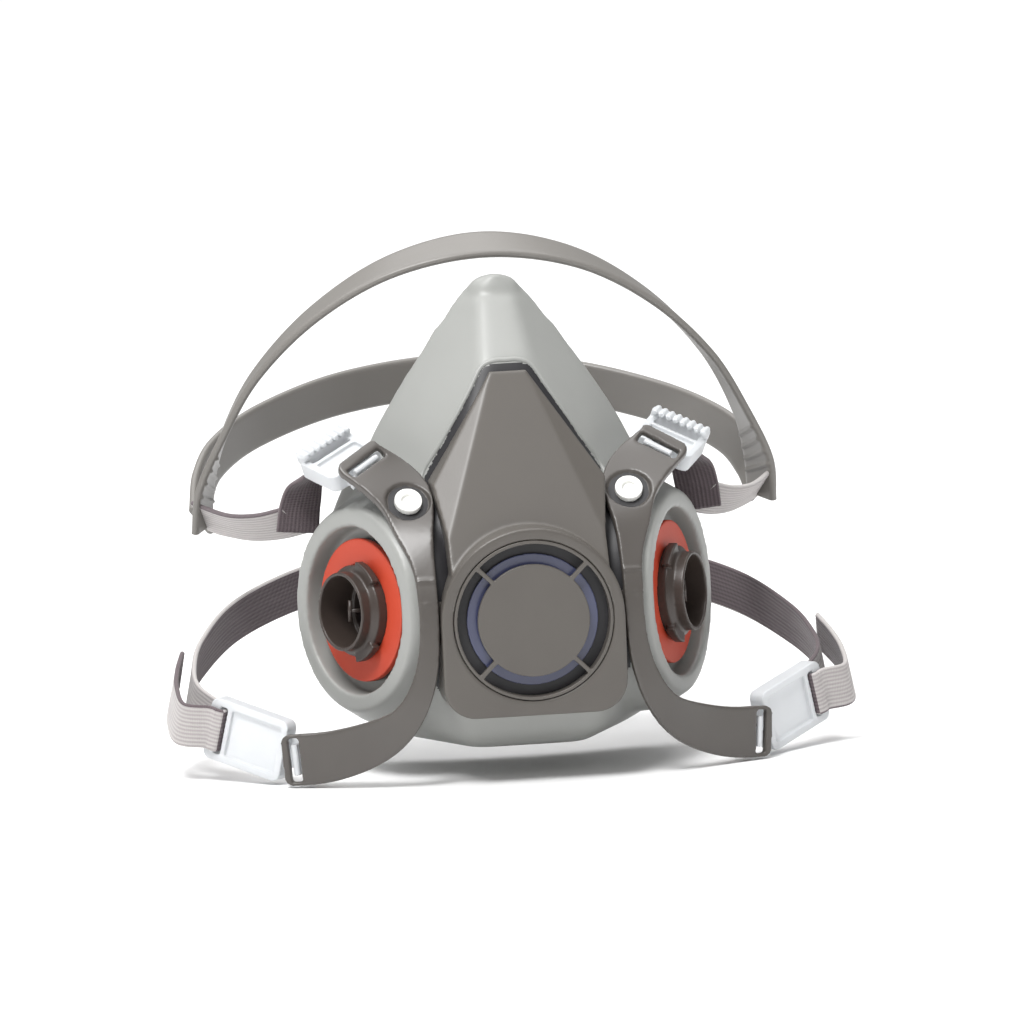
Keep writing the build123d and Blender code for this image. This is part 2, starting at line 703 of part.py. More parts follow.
with BuildPart() as neck_strap:
    strap_in_buckle(side, lower_slot_row, lower_reach, True)
    band(strap_stations(side, lower_slot_row, lower_reach, neck_strap_rows, under_level), strap_thickness)
    band(strap_stations(side, lower_slot_row, lower_reach, neck_tail_rows, over_level), strap_thickness)
pair(neck_strap, "neck_strap")

# ---- neck clasp: a loop on one half and a hook on the other, lying unhooked ----
strap_end = grade(*neck_strap_rows[-1][0])
clasp_plane = Plane(origin=(0, strap_end.Y, strap_end.Z), x_dir=(1, 0, 0), z_dir=(0, 1, 0))
half_thick = clasp_thickness / 2
with BuildPart() as clasp_loop:
    slab(clasp_plane, clasp_gap / 2, strap_end.X - clasp_gap, clasp_half, -half_thick, half_thick, corner=2.0)
    slab(clasp_plane, clasp_gap / 2 + 2.2, clasp_gap / 2 + 6.6, clasp_half - 2.6, -clasp_thickness,
         clasp_thickness, Mode.SUBTRACT)
finish(clasp_loop.part, "neck_clasp_loop")
with BuildPart() as clasp_hook:
    slab(clasp_plane, clasp_gap - strap_end.X, -clasp_gap / 2 - 3.0, clasp_half, -half_thick, half_thick, corner=2.0)
    slab(clasp_plane, -clasp_gap / 2 - 5.0, -clasp_gap / 2, clasp_half - 3.2, -half_thick, 0)
    slab(clasp_plane, -clasp_gap / 2 - 1.4, -clasp_gap / 2, clasp_half - 3.2, -half_thick, half_thick)
finish(clasp_hook.part, "neck_clasp_hook")
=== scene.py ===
import bmesh
import bpy
import math
import numpy as np
from mathutils import Matrix, Vector
from mathutils.bvhtree import BVHTree


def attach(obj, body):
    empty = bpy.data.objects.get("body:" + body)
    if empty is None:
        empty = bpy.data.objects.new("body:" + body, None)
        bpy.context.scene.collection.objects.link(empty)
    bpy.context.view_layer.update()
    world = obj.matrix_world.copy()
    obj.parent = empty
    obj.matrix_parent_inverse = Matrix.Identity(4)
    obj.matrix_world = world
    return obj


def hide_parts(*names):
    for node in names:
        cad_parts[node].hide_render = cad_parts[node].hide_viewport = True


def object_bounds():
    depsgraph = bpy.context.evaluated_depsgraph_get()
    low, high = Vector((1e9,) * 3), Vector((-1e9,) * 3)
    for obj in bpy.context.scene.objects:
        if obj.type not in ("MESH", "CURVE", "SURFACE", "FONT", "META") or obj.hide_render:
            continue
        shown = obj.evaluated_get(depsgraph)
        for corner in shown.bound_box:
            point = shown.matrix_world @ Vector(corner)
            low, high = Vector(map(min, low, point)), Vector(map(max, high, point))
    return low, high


MM = 0.001
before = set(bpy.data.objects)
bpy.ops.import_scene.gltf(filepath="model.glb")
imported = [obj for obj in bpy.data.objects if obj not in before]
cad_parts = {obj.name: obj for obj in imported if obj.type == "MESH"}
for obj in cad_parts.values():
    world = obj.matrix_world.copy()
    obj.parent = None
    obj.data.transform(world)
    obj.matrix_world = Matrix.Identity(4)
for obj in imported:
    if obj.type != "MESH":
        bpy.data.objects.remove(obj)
cad_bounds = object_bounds()

# ---------------------------------------------------------------- camera
VALVE = Vector((0, -62, -22)) * MM
AIM_UP = 30.4              # the view's middle is this far above the valve, in mm
AIM_LEFT = 6.2             # and this far to its left
CAMERA_DISTANCE = 4.0      # far away with a long lens, so perspective stays slight
CAMERA_LENS = 502.3
azimuth = math.radians(-8)
elevation = math.radians(8)
roll = math.radians(2.3)
back = Vector((math.sin(azimuth) * math.cos(elevation), -math.cos(azimuth) * math.cos(elevation),
               math.sin(elevation)))
level_right = Vector((math.cos(azimuth), math.sin(azimuth), 0))
level_up = back.cross(level_right)
image_right = level_right * math.cos(roll) - level_up * math.sin(roll)
image_up = level_right * math.sin(roll) + level_up * math.cos(roll)
target = VALVE + (image_up * AIM_UP - image_right * AIM_LEFT) * MM
camera_data = bpy.data.cameras.new("view")
camera_data.lens = CAMERA_LENS
camera_data.sensor_width = 36
camera_data.clip_start = 0.02
camera = bpy.data.objects.new("view", camera_data)
bpy.context.scene.collection.objects.link(camera)
turn = Matrix((image_right, image_up, back)).transposed().to_4x4()
camera.matrix_world = Matrix.Translation(target + back * CAMERA_DISTANCE) @ turn
bpy.context.scene.camera = camera
bpy.context.scene.view_settings.view_transform = "Standard"


# ---------------------------------------------------------------- light and floor
def area(name, place, aim, size, power):
    """A round soft light at a place, aimed at a point, in metres and watts."""
    data = bpy.data.lights.new(name, "AREA")
    data.shape = "DISK"
    data.size = size
    data.energy = power
    lamp = bpy.data.objects.new(name, data)
    bpy.context.scene.collection.objects.link(lamp)
    direction = Vector(aim) - Vector(place)
    lamp.matrix_world = Matrix.Translation(place) @ direction.to_track_quat("-Z", "Y").to_matrix().to_4x4()


area("key", (-0.5, -0.8, 1.35), (0, 0, 0), 0.55, 24.0)
area("overhead", (-0.3, 0.8, 2.6), (0, 0.8, 0), 4.0, 95.0)
world = bpy.data.worlds.new("studio")
bpy.context.scene.world = world
world.use_nodes = True
world.node_tree.nodes["Background"].inputs["Color"].default_value = (1, 1, 1, 1)
world.node_tree.nodes["Background"].inputs["Strength"].default_value = 0.42


# ---------------------------------------------------------------- materials
def linear(value):
    return value / 12.92 if value <= 0.04045 else ((value + 0.055) / 1.055) ** 2.4


def rgb(red, green, blue):
    return (linear(red / 255), linear(green / 255), linear(blue / 255), 1.0)


def surface(name, colour, darker, rough=0.5, rough_spread=0.08, spots=40.0, grain=900.0, grain_depth=0.02,
            specular=0.5, **sockets):
    """A moulded surface: soft mottling of colour and gloss, and a fine grain."""
    material = bpy.data.materials.new(name)
    material.use_nodes = True
    nodes = material.node_tree.nodes
    links = material.node_tree.links
    shader = nodes["Principled BSDF"]
    place = nodes.new("ShaderNodeTexCoord")
    mottle = nodes.new("ShaderNodeTexNoise")
    mottle.inputs["Scale"].default_value = spots
    mottle.inputs["Detail"].default_value = 4
    links.new(place.outputs["Object"], mottle.inputs["Vector"])
    tone = nodes.new("ShaderNodeMix")
    tone.data_type = "RGBA"
    tone.inputs["A"].default_value = colour
    tone.inputs["B"].default_value = darker
    links.new(mottle.outputs["Fac"], tone.inputs["Factor"])
    links.new(tone.outputs["Result"], shader.inputs["Base Color"])
    gloss = nodes.new("ShaderNodeMapRange")
    gloss.inputs["To Min"].default_value = rough - rough_spread
    gloss.inputs["To Max"].default_value = rough + rough_spread
    links.new(mottle.outputs["Fac"], gloss.inputs["Value"])
    links.new(gloss.outputs["Result"], shader.inputs["Roughness"])
    fine = nodes.new("ShaderNodeTexNoise")
    fine.inputs["Scale"].default_value = grain
    fine.inputs["Detail"].default_value = 3
    links.new(place.outputs["Object"], fine.inputs["Vector"])
    bump = nodes.new("ShaderNodeBump")
    bump.inputs["Strength"].default_value = 0.35
    bump.inputs["Distance"].default_value = grain_depth * MM
    links.new(fine.outputs["Fac"], bump.inputs["Height"])
    links.new(bump.outputs["Normal"], shader.inputs["Normal"])
    shader.inputs["Specular IOR Level"].default_value = specular
    for socket, value in sockets.items():
        shader.inputs[socket.replace("_", " ")].default_value = value
    return material


def webbing(name, colour, line_colour):
    """Woven elastic: cross threads and ribs, laid out by the strap's own length and width in mm."""
    material = surface(name, colour, line_colour, rough=0.82, spots=160, grain=2600, grain_depth=0.05,
                       specular=0.25)
    nodes = material.node_tree.nodes
    links = material.node_tree.links
    shader = nodes["Principled BSDF"]
    shader.inputs["Sheen Weight"].default_value = 0.25
    place = nodes.new("ShaderNodeUVMap")
    threads = nodes.new("ShaderNodeTexWave")
    threads.wave_type = "BANDS"
    threads.bands_direction = "Y"
    threads.inputs["Scale"].default_value = 0.62
    threads.inputs["Distortion"].default_value = 0.3
    links.new(place.outputs["UV"], threads.inputs["Vector"])
    ribs = nodes.new("ShaderNodeTexWave")
    ribs.wave_type = "BANDS"
    ribs.bands_direction = "X"
    ribs.inputs["Scale"].default_value = 0.28
    ribs.inputs["Distortion"].default_value = 0.1
    links.new(place.outputs["UV"], ribs.inputs["Vector"])
    both = nodes.new("ShaderNodeMath")
    both.operation = "ADD"
    links.new(threads.outputs["Fac"], both.inputs[0])
    links.new(ribs.outputs["Fac"], both.inputs[1])
    bump = nodes.new("ShaderNodeBump")
    bump.inputs["Strength"].default_value = 0.7
    bump.inputs["Distance"].default_value = 0.12 * MM
    links.new(both.outputs["Value"], bump.inputs["Height"])
    links.new(bump.outputs["Normal"], shader.inputs["Normal"])
    tone = nodes.new("ShaderNodeMix")
    tone.data_type = "RGBA"
    tone.inputs["A"].default_value = line_colour
    tone.inputs["B"].default_value = colour
    links.new(ribs.outputs["Fac"], tone.inputs["Factor"])
    links.new(tone.outputs["Result"], shader.inputs["Base Color"])
    return material


M = {
    "face": surface("face_elastomer", rgb(152, 153, 150), rgb(142, 143, 140), 0.40, 0.05, 30, 1400, 0.015),
    "shield": surface("shield_plastic", rgb(88, 84, 79), rgb(80, 76, 72), 0.40, 0.05, 55, 1500, 0.03),
    "arm": surface("arm_plastic", rgb(82, 78, 74), rgb(74, 70, 67), 0.34, 0.06, 45, 1500, 0.02),
    "port": surface("port_plastic", rgb(66, 57, 52), rgb(52, 44, 40), 0.38, 0.06, 60, 1200, 0.02),
    "gasket": surface("gasket_rubber", rgb(196, 70, 42), rgb(176, 56, 34), 0.55, 0.06, 60, 1100, 0.03),
    "flap": surface("flap_silicone", rgb(70, 75, 106), rgb(50, 53, 78), 0.3, 0.06, 40, 600, 0.01,
                    Coat_Weight=0.3),
    # near-black: painted shade in the arm recesses round the studs and in the gap behind the shield; on the
    # exhalation valve seat it is partly the seat's own dark and partly painted shade of the valve's recess
    "dark": surface("near_black_painted_shade", rgb(36, 35, 38), rgb(26, 25, 28), 0.5, 0.08, 60, 900, 0.02),
    "buckle": surface("buckle_plastic", rgb(236, 238, 240), rgb(222, 225, 228), 0.32, 0.06, 70, 700, 0.02,
                      Transmission_Weight=0.35, IOR=1.46),
    "stud": surface("stud_plastic", rgb(240, 240, 236), rgb(228, 228, 224), 0.35, 0.05, 90, 900, 0.01),
    "cradle": surface("cradle_elastomer", rgb(122, 119, 115), rgb(108, 105, 101), 0.38, 0.06, 28, 1300, 0.03),
    "clasp": surface("clasp_plastic", rgb(84, 80, 77), rgb(72, 68, 66), 0.42, 0.06, 60, 1200, 0.02),
    # webbing: pale outer and dark inner colour. The upper straps are dark on both faces; on the two-faced
    # straps the side towards the head takes the dark, which there is partly painted shade
    "web_out": webbing("webbing_outer", rgb(184, 180, 178), rgb(160, 154, 154)),
    "web_in": webbing("webbing_inner", rgb(98, 88, 91), rgb(80, 70, 74)),
}

FLOOR_GAP = 0.0006         # metres between the floor and the lowest point
FLOOR_REACH = 8
floor_mesh = bpy.data.meshes.new("floor")
floor_z = cad_bounds[0][2] - FLOOR_GAP
floor_corners = [(x * FLOOR_REACH, y * FLOOR_REACH, floor_z) for x, y in ((-1, -1), (1, -1), (1, 1), (-1, 1))]
floor_mesh.from_pydata(floor_corners, [], [(0, 1, 2, 3)])
floor = bpy.data.objects.new("floor", floor_mesh)
bpy.context.scene.collection.objects.link(floor)
floor_paper = surface("floor_paper", (0.93, 0.93, 0.93, 1), (0.92, 0.92, 0.92, 1), 0.7, 0.02, 3, 60)
floor_mesh.materials.append(floor_paper)


# ---------------------------------------------------------------- mesh helpers
def link(name, mesh, smooth=True):
    piece = bpy.data.objects.new(name, mesh)
    bpy.context.scene.collection.objects.link(piece)
    if smooth:
        mesh.polygons.foreach_set("use_smooth", [True] * len(mesh.polygons))
    return piece


def rods(bm, pieces):
    """Adds rounded rods to a mesh: (start, end, radius) in mm."""
    for start, end, radius in pieces:
        start, end = Vector(start) * MM, Vector(end) * MM
        way = (end - start).to_track_quat("Z", "Y").to_matrix().to_4x4()
        middle = Matrix.Translation((start + end) / 2) @ way
        bmesh.ops.create_cone(bm, cap_ends=True, segments=16, radius1=radius * MM, radius2=radius * MM,
                              depth=(end - start).length, matrix=middle)


def balls(bm, pieces):
    """Adds ellipsoids to a mesh: (centre, (x, y, z radii)) in mm."""
    for centre, radii in pieces:
        size = Matrix.Diagonal(Vector(radii).to_4d()) * MM
        size[3][3] = 1
        bmesh.ops.create_uvsphere(bm, u_segments=24, v_segments=16, radius=1,
                                  matrix=Matrix.Translation(Vector(centre) * MM) @ size)


def remeshed(name, source, voxel, extra_rods=(), extra_balls=()):
    """A new mesh of evenly sized faces over a source mesh and what is added to it, in mm."""
    bm = bmesh.new()
    bm.from_mesh(source)
    rods(bm, extra_rods)
    balls(bm, extra_balls)
    grown = bpy.data.meshes.new(name + "_temp")
    bm.to_mesh(grown)
    bm.free()
    temp = link(name + "_temp", grown, False)
    weld = temp.modifiers.new("weld", "WELD")
    weld.merge_threshold = 0.00001
    remesh = temp.modifiers.new("remesh", "REMESH")
    remesh.mode = "VOXEL"
    remesh.voxel_size = voxel * MM
    bpy.context.view_layer.update()
    mesh = bpy.data.meshes.new_from_object(temp.evaluated_get(bpy.context.evaluated_depsgraph_get()))
    bpy.data.objects.remove(temp)
    mesh.name = name
    mesh.materials.clear()
    return mesh


def points_of(mesh):
    co = np.empty(len(mesh.vertices) * 3)
    mesh.vertices.foreach_get("co", co)
    return co.reshape(-1, 3)


def put_points(mesh, co):
    mesh.vertices.foreach_set("co", co.ravel())
    mesh.update()


def relax(mesh, passes, weight=None, amount=0.5):
    """Moves each point towards the middle of its neighbours."""
    co = points_of(mesh)
    edges = np.empty(len(mesh.edges) * 2, int)
    mesh.edges.foreach_get("vertices", edges)
    edges = edges.reshape(-1, 2)
    count = np.bincount(edges.ravel(), minlength=len(co)).astype(float)[:, None]
    count[count == 0] = 1
    share = amount if weight is None else amount * weight[:, None]
    for _ in range(passes):
        total = np.zeros_like(co)
        for axis in range(3):
            total[:, axis] = (np.bincount(edges[:, 0], co[edges[:, 1], axis], len(co))
                              + np.bincount(edges[:, 1], co[edges[:, 0], axis], len(co)))
        co = co + (total / count - co) * share
    put_points(mesh, co)


def show(piece, body, material, slot, *nodes):
    piece.data.materials.append(M[material])
    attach(piece, body)
    if nodes:
        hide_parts(*nodes)
    return piece


def softened(node, voxel, passes, body, material, slot, extra_rods=()):
    """A CAD piece with its edges rounded as a mould leaves them."""
    mesh = remeshed(node + "_look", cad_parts[node].data, voxel, extra_rods)
    relax(mesh, passes)
    return show(link(node + "_look", mesh), body, material, slot, node)


def catmull(values, count):
    """Evenly spread points through values, with their neighbours deciding the bend."""
    values = np.array(values, float)
    padded = np.vstack([2 * values[0] - values[1], values, 2 * values[-1] - values[-2]])
    out = []
    for i in range(1, len(padded) - 2):
        p0, p1, p2, p3 = padded[i - 1:i + 3]
        for t in np.arange(count) / count:
            out.append(0.5 * ((2 * p1) + (p2 - p0) * t + (2 * p0 - 5 * p1 + 4 * p2 - p3) * t * t
                              + (3 * p1 - p0 - 3 * p2 + p3) * t ** 3))
    out.append(values[-1])
    return np.array(out)


HEAD_MIDDLE = (0, 20)      # x and y of the upright line that a band's outer face looks away from, in mm


def sweep(name, rows, section, steps=8, two_faced=False):
    """A band along rows of (point, across, width), in mm.

    section(width, run, total) gives (x, y, face) points.
    On a two-faced band, face 0 looks away from the head.
    """
    data = catmull([list(p) + list(a) + [w] for p, a, w in rows], steps)
    centres, across, widths = data[:, :3], data[:, 3:6], data[:, 6]
    along = np.gradient(centres, axis=0)
    along /= np.linalg.norm(along, axis=1)[:, None]
    across = across - along * (across * along).sum(1)[:, None]
    across /= np.linalg.norm(across, axis=1)[:, None]
    normal = np.cross(along, across)
    run = np.concatenate([[0], np.cumsum(np.linalg.norm(np.diff(centres, axis=0), axis=1))])
    verts, faces, uvs, marks = [], [], [], []
    total = len(centres)
    for i in range(total):
        ring = section(widths[i], run[i], run[-1])
        for x, y, mark in ring:
            verts.append(tuple((centres[i] + across[i] * x + normal[i] * y) * MM))
            uvs.append((x, run[i]))
        outward = normal[i].dot(centres[i] - np.array([*HEAD_MIDDLE, centres[i][2]])) > 0
        marks.append([mark if outward or not two_faced else 1 - mark for _, _, mark in ring])
    size = len(marks[0])
    materials = []
    for i in range(total - 1):
        for j in range(size):
            k = (j + 1) % size
            faces.append((i * size + j, i * size + k, (i + 1) * size + k, (i + 1) * size + j))
            materials.append(marks[i][j])
    faces.append(tuple(reversed(range(size))))
    faces.append(tuple((total - 1) * size + j for j in range(size)))
    materials += [0, 0]
    mesh = bpy.data.meshes.new(name)
    mesh.from_pydata(verts, [], faces)
    layer = mesh.uv_layers.new(name="UVMap")
    corner = np.empty(len(mesh.loops), int)
    mesh.loops.foreach_get("vertex_index", corner)
    layer.data.foreach_set("uv", np.array(uvs)[corner].ravel())
    mesh.polygons.foreach_set("material_index", materials)
    mesh.update()
    return mesh


RIBBED_POINTS = 33         # points across one side of a ribbed band
PLAIN_POINTS = 13          # and of a plain one
EDGE_STEPS = 5             # steps round a band's edge
RIDGE_SLANT = 0.45         # run along the band for each mm across it
RIDGE_HEIGHT = 0.55
RIDGE_HALF = 0.75


def flat_section(thickness, ribs=0, rib_height=0.0, ridges=()):
    """A flat band's outline with round edges, and ribs along it or slanted ridges near its ends.

    Face 1 is its -y side.
    """
    def outline(width, run, total):
        half = width / 2
        radius = thickness / 2
        points = []
        top = RIBBED_POINTS if ribs else PLAIN_POINTS
        for side, mark in ((1, 0), (-1, 1)):
            for i in range(top):
                x = side * (-(half - radius) + 2 * (half - radius) * i / (top - 1))
                raised = rib_height * math.sin(math.pi * ribs * (x / width + 0.5)) ** 2 if ribs else 0.0
                for place in ridges:
                    for start in (place, total - place):
                        slant = x * RIDGE_SLANT if start == place else -x * RIDGE_SLANT
                        off = (run - start - slant) / RIDGE_HALF
                        raised += RIDGE_HEIGHT * max(0.0, 1 - off ** 2) * (mark == 0)
                points.append((x, side * (radius + raised), mark))
            for i in range(1, EDGE_STEPS):
                angle = math.pi * i / EDGE_STEPS
                points.append((side * (half - radius + radius * math.sin(angle)),
                               side * radius * math.cos(angle), mark))
        return points
    return outline


# ---------------------------------------------------------------- places shared with the CAD
def mirrored(rows, side):
    """Rows on one side of the mask: side 1 as given, side -1 mirrored."""
    return [(Vector((side * p[0], p[1], p[2])), Vector((side * a[0], a[1], a[2])), w) for p, a, w in rows]


def frame_matrix(x, y, z, origin):
    rows = [(x[k], y[k], z[k], origin[k]) for k in range(3)]
    return Matrix((*rows, (0, 0, 0, 1)))


# for each slot and the stud: its place, a second point along the arm, and the way across the arm, in mm
ARM = {
    "upper": ((41.6, -31.1, 20.5), (44.5, -28.6, 23.4), (0.80, -0.42, -0.42)),
    "stud": ((31.4, -40.0, 10.0), (41.6, -31.1, 20.5), (0.80, -0.42, -0.42)),
    "lower": ((66.1, -40.2, -60.7), (69.4, -38.8, -61.0), (-0.02, 0.0, 1.0)),
}
# a lock: the way along it, the way across it and its reach from the pin, in mm
BODY = {
    "upper": ((0.45, 0.87, 0.20), (0.80, -0.42, -0.42), 23.0),
    "lower": ((0.745, 0.605, 0.26), (-0.21, -0.17, 0.96), 31.0),
}


def plane(origin, x_dir, across, flip):
    """A frame with x along x_dir and y near across, turned over where flip(z) says so."""
    x = Vector(x_dir).normalized()
    y = Vector(across)
    y = (y - x * y.dot(x)).normalized()
    z = x.cross(y)
    if flip(z):
        z = -z
    y = z.cross(x)
    return frame_matrix(x, y, z, origin)


def sided(values, side):
    return Vector((side * values[0], values[1], values[2]))


def body_plane(side, which):
    along, across, _ = BODY[which]
    flip = (lambda z: z.z < 0) if which == "upper" else (lambda z: z.y > 0)
    return plane(sided(ARM[which][0], side), sided(along, side), sided(across, side), flip)


def arm_plane(side, which):
    here, there, across = ARM[which]
    here, there = sided(here, side), sided(there, side)
    return plane(here, there - here, sided(across, side), lambda z: z.y > 0)


PORT_TURN = 63.3           # degrees that a port is turned outwards from straight ahead
PORT_RISE = 2.3            # degrees that it looks up
PORT_PLACE = (50.7, -31.4, -20.8)


def port_matrix(side):
    """A port's frame, in mm, with z out along its tube."""
    turn_angle, rise = math.radians(PORT_TURN), math.radians(PORT_RISE)
    z = Vector((side * math.sin(turn_angle) * math.cos(rise), -math.cos(turn_angle) * math.cos(rise),
                math.sin(rise)))
    x = Vector((side * math.cos(turn_angle), math.sin(turn_angle), 0)).normalized()
    y = z.cross(x)
    return frame_matrix(x, y, z, (side * PORT_PLACE[0], PORT_PLACE[1], PORT_PLACE[2]))


# ---------------------------------------------------------------- facepiece
NOSE_NUB = (((0, -6.2, 65.4), (5.4, 4.8, 4.2)), ((0, -8.6, 68.6), (1.9, 1.7, 1.6)))
NOSE_HEIGHTS = (20, 34, 48, 58, 63, 69)
NOSE_WIDENING = (1, 1.08, 1.16, 1.26, 1.36, 1.42)
PORT_KEPT = 29.5           # nothing is smoothed within this radius of a port's axis
PORT_FADE = 3.5            # and the smoothing comes in over this much more
PORT_DEPTH = -22           # down to here along the axis
VALVE_DROP = 22            # the valve's axis is this far below the frame's origin
VALVE_KEPT = 24
VALVE_BACK = -40
FIRM_HEIGHTS = (38, 62)
FIRM_SHARES = (1, 0.3)
# painted shade in the gap behind the shield: heights with the half widths it reaches there, and its low, high
# and back limits, in mm
GAP_HEIGHTS = (-50.4, -44, -38, 4, 16.4, 45, 46.4)
GAP_HALVES = (16, 24.6, 28.6, 28.2, 24.8, 7.0, 4)
GAP_LOW = -50.2
GAP_HIGH = 46.4
GAP_BACK = -24


def softness(co):
    """How freely each point is smoothed: not at the ports and the valve, and less towards the nose."""
    soft = np.ones(len(co))
    for side in (-1, 1):
        to_port = np.array(port_matrix(side).inverted())
        local = co @ to_port[:3, :3].T + to_port[:3, 3]
        radial = np.hypot(local[:, 0], local[:, 1])
        beside = local[:, 2] > PORT_DEPTH
        soft[(radial < PORT_KEPT) & beside] = 0.0
        band_zone = (radial >= PORT_KEPT) & (radial < PORT_KEPT + PORT_FADE) & beside
        soft[band_zone] = np.minimum(soft[band_zone], (radial[band_zone] - PORT_KEPT) / PORT_FADE)
    valve_radial = np.hypot(co[:, 0], co[:, 2] + VALVE_DROP)
    soft[(valve_radial < VALVE_KEPT) & (co[:, 1] < VALVE_BACK)] = 0.0
    return soft * np.interp(co[:, 2], FIRM_HEIGHTS, FIRM_SHARES)


def gap_shade_half(z):
    """How far from the middle the painted shade of the gap behind the shield reaches, at a height."""
    return float(np.interp(z, GAP_HEIGHTS, GAP_HALVES))


face_mesh = remeshed("facepiece_look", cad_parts["facepiece"].data, 0.65, extra_balls=NOSE_NUB)
co = points_of(face_mesh) / MM
co[:, 0] *= np.interp(co[:, 2], NOSE_HEIGHTS, NOSE_WIDENING)
put_points(face_mesh, co * MM)
relax(face_mesh, 5)
relax(face_mesh, 55, softness(co))
show(link("facepiece_look", face_mesh), "mask", "face", "facepiece_elastomer", "facepiece")

# painted shade: the facepiece's faces in the gap behind the shield take the near-black material
face_mesh.materials.append(M["dark"])
for face in face_mesh.polygons:
    x, y, z = face.center / MM
    if y < GAP_BACK and GAP_LOW < z < GAP_HIGH and abs(x) < gap_shade_half(z):
        face.material_index = 1

# the raised bead round the shield, laid on the face as seen from the front
tree = BVHTree.FromPolygons([v.co for v in face_mesh.vertices], [p.vertices for p in face_mesh.polygons])
BEAD = (
    (0, 47.2), (3.6, 47.1), (7.2, 45.4), (10.9, 39.4),
    (15.6, 31.8), (20.4, 24.2), (25.6, 16.0), (27.4, 9.0),
)
BEAD_RADIUS = 0.75
BEAD_LIFT = 0.15
BEAD_ACROSS = Vector((0.3, -1, 0.2))
BEFORE_FACE = -120         # y of a plane in front of the whole mask, in mm
ROUND_SIDES = 12


def on_face(x, z):
    hit = tree.ray_cast(Vector((x, BEFORE_FACE, z)) * MM, Vector((0, 1, 0)))[0]
    return Vector((x, hit.y / MM + BEAD_LIFT, z))


def round_section(radius):
    def outline(width, run, total):
        angles = [math.tau * i / ROUND_SIDES for i in range(ROUND_SIDES)]
        return [(radius * math.cos(angle), radius * math.sin(angle), 0) for angle in angles]
    return outline


bead_rows = [(on_face(-x, z), BEAD_ACROSS, 1) for x, z in BEAD[::-1]]
bead_rows += [(on_face(x, z), BEAD_ACROSS, 1) for x, z in BEAD[1:]]
bead = link("shield_bead", sweep("shield_bead", bead_rows, round_section(BEAD_RADIUS), 6))
show(bead, "mask", "face", "facepiece_elastomer")

# ---------------------------------------------------------------- hard pieces
STEP_INNER = (26.4, -56.3, -9.9)
STEP_OUTER = (32.2, -55.7, -10.1)
STEP_RADIUS = 0.6
TEETH = 8
TEETH_HALF = 7.6           # the outermost teeth's distance from the lock's middle, in mm
TOOTH_START = 18.6         # along the lock from its pin
TOOTH_END = 23.2
TOOTH_LEVEL = 0.7
TOOTH_RADIUS = 0.85
# a flat ring of painted shade in each arm's recess round the stud: its inner and outer radii, its lift off
# the arm in mm, and its number of sides
RECESS_SHADE_RADII = (2.6, 6.15)
RECESS_SHADE_LEVEL = 0.2
RECESS_SHADE_SIDES = 48
POST_RADIUS = 0.6
POST_FOOT = -12.6
POST_HEAD = -3.0
POST_BAR_LEVEL = -3.4
POST_BAR_HALF = 3.0


def buckle_teeth(side):
    """The rods that make an upper lock's teeth."""
    place = body_plane(side, "upper")
    teeth = []
    for y in np.linspace(-TEETH_HALF, TEETH_HALF, TEETH):
        ends = [place @ Vector((x, y, TOOTH_LEVEL)) for x in (TOOTH_START, TOOTH_END)]
        teeth.append((*ends, TOOTH_RADIUS))
    return teeth


def stud_recess_shade(side, name):
    """A flat ring of painted shade in the arm's recess, under the stud's head."""
    place = arm_plane(side, "stud")
    points = []
    for radius in RECESS_SHADE_RADII:
        for i in range(RECESS_SHADE_SIDES):
            angle = math.tau * i / RECESS_SHADE_SIDES
            spot = Vector((radius * math.cos(angle), radius * math.sin(angle), RECESS_SHADE_LEVEL))
            points.append(place @ spot * MM)
    n = RECESS_SHADE_SIDES
    mesh = bpy.data.meshes.new(f"{name}_stud_shadow")
    mesh.from_pydata(points, [], [(i, (i + 1) % n, n + (i + 1) % n, n + i) for i in range(n)])
    show(link(f"{name}_stud_recess_shade", mesh), "mask", "dark", "port_plastic")


def port_post(side, name):
    """The post in a port's tube, with the bar across its head."""
    place = port_matrix(side)
    bm = bmesh.new()
    upright = [place @ Vector((0, 0, z)) for z in (POST_FOOT, POST_HEAD)]
    bar = [place @ Vector((0, y, POST_BAR_LEVEL)) for y in (-POST_BAR_HALF, POST_BAR_HALF)]
    rods(bm, ((*upright, POST_RADIUS), (*bar, POST_RADIUS)))
    mesh = bpy.data.meshes.new(f"{name}_port_post")
    bm.to_mesh(mesh)
    bm.free()
    show(link(f"{name}_port_post", mesh), "mask", "port", "port_plastic")


softened("front_plate", 0.4, 3, "mask", "shield", "shield_plastic")
steps = [(sided(STEP_INNER, side), sided(STEP_OUTER, side), STEP_RADIUS) for side in (-1, 1)]
softened("harness_yoke", 0.42, 3, "mask", "arm", "shield_plastic", steps)
softened("valve_cover", 0.25, 2, "mask", "shield", "shield_plastic")
# the valve seat takes the near-black: partly its own dark, partly painted shade of the valve's recess
softened("exhalation_valve_seat", 0.3, 2, "mask", "dark", "port_plastic")
softened("exhalation_valve_flap", 0.25, 1, "exhalation_flap", "flap", "valve_silicone")
for side, name in ((-1, "left"), (1, "right")):
    softened(f"{name}_port_insert", 0.3, 2, "mask", "port", "port_plastic")
    softened(f"{name}_port_gasket", 0.3, 2, "mask", "gasket", "gasket_rubber")
    softened(f"{name}_inhalation_flap", 0.25, 1, f"{name}_intake_flap", "flap", "valve_silicone")
    softened(f"{name}_harness_stud", 0.2, 2, "mask", "stud", "stud_plastic")
    softened(f"{name}_upper_buckle", 0.28, 2, "head_harness", "buckle", "buckle_plastic", buckle_teeth(side))
    stud_recess_shade(side, name)
    port_post(side, name)
    softened(f"{name}_lower_buckle", 0.28, 2, f"{name}_neck_side", "buckle", "buckle_plastic")
softened("neck_clasp_loop", 0.28, 2, "right_neck_side", "clasp", "clasp_plastic")
softened("neck_clasp_hook", 0.28, 2, "left_neck_side", "clasp", "clasp_plastic")

